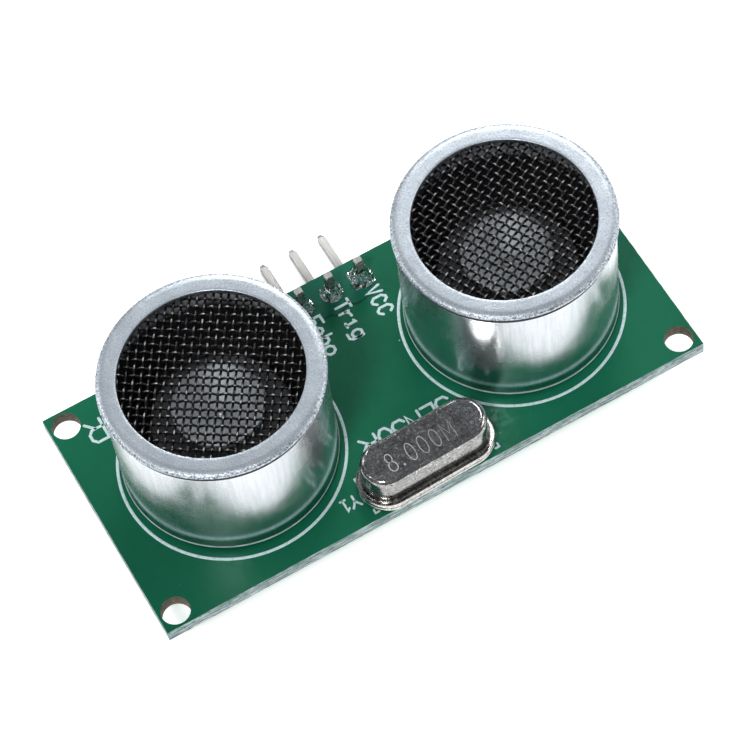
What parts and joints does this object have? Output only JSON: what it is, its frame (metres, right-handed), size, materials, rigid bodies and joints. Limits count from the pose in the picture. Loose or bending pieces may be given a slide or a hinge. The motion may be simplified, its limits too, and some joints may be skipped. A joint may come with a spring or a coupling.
{
  "type": "ultrasonic distance sensor",
  "caption": "Ultrasonic distance sensor: a small green circuit board with open round transducers side by side, a metal crystal and a bent pin header.",
  "frame": {"origin": "centre of the circuit board's front face", "axes": "+X along the board's long side with the transmitter, +Y towards the header's edge, +Z out of the front face, the way the transducers point"},
  "size_m": [0.045, 0.0261, 0.0164],
  "materials": {
    "board": "glossy green solder mask on glass-fibre laminate",
    "can": "polished body with a finely blasted rim",
    "screen": "black woven wire",
    "horn": "bright spun aluminium",
    "brass": "plain brass sheet",
    "ceramic": "silvered piezo ceramic",
    "silicone": "white silicone",
    "base": "black moulded plastic",
    "tin": "tinned wire",
    "copper": "thin copper wire",
    "solder": "bright solder",
    "pin": "tinned square pins",
    "crystal": "glossy nickel-plated steel",
    "quartz": "polished quartz",
    "seal_glass": "dark glass seal",
    "black_plastic": "black moulding compound",
    "resistor": "black film on a ceramic chip with tinned ends",
    "capacitor": "tan ceramic chip with tinned ends"
  },
  "bodies": {
    "root": {"capacitor_1": "capacitor", "capacitor_2": "capacitor", "capacitor_3": "capacitor", "capacitor_4": "capacitor", "circuit_board": "board", "crystal_base": "crystal", "crystal_blank": "quartz", "crystal_can": "crystal", "crystal_lead_1": "tin", "crystal_lead_2": "tin", "crystal_seal_1": "seal_glass", "crystal_seal_2": "seal_glass", "crystal_solder_1": "solder", "crystal_solder_2": "solder", "header_housing": "black_plastic", "header_pin_1": "pin", "header_pin_2": "pin", "header_pin_3": "pin", "header_pin_4": "pin", "header_solder_1": "solder", "header_solder_2": "solder", "header_solder_3": "solder", "header_solder_4": "solder", "ranging_chip": "black_plastic", "receiver_base_plate": "base", "receiver_can": "can", "receiver_diaphragm": "brass", "receiver_horn": "horn", "receiver_lead_1": "copper", "receiver_lead_2": "copper", "receiver_piezo_disc": "ceramic", "receiver_screen": "screen", "receiver_silicone_bed": "silicone", "receiver_solder_1": "solder", "receiver_solder_2": "solder", "receiver_terminal_1": "tin", "receiver_terminal_2": "tin", "resistor_1": "resistor", "resistor_2": "resistor", "resistor_3": "resistor", "resistor_4": "resistor", "resistor_5": "resistor", "transmitter_base_plate": "base", "transmitter_can": "can", "transmitter_diaphragm": "brass", "transmitter_horn": "horn", "transmitter_lead_1": "copper", "transmitter_lead_2": "copper", "transmitter_piezo_disc": "ceramic", "transmitter_screen": "screen", "transmitter_silicone_bed": "silicone", "transmitter_solder_1": "solder", "transmitter_solder_2": "solder", "transmitter_terminal_1": "tin", "transmitter_terminal_2": "tin"}
  },
  "joints": []
}
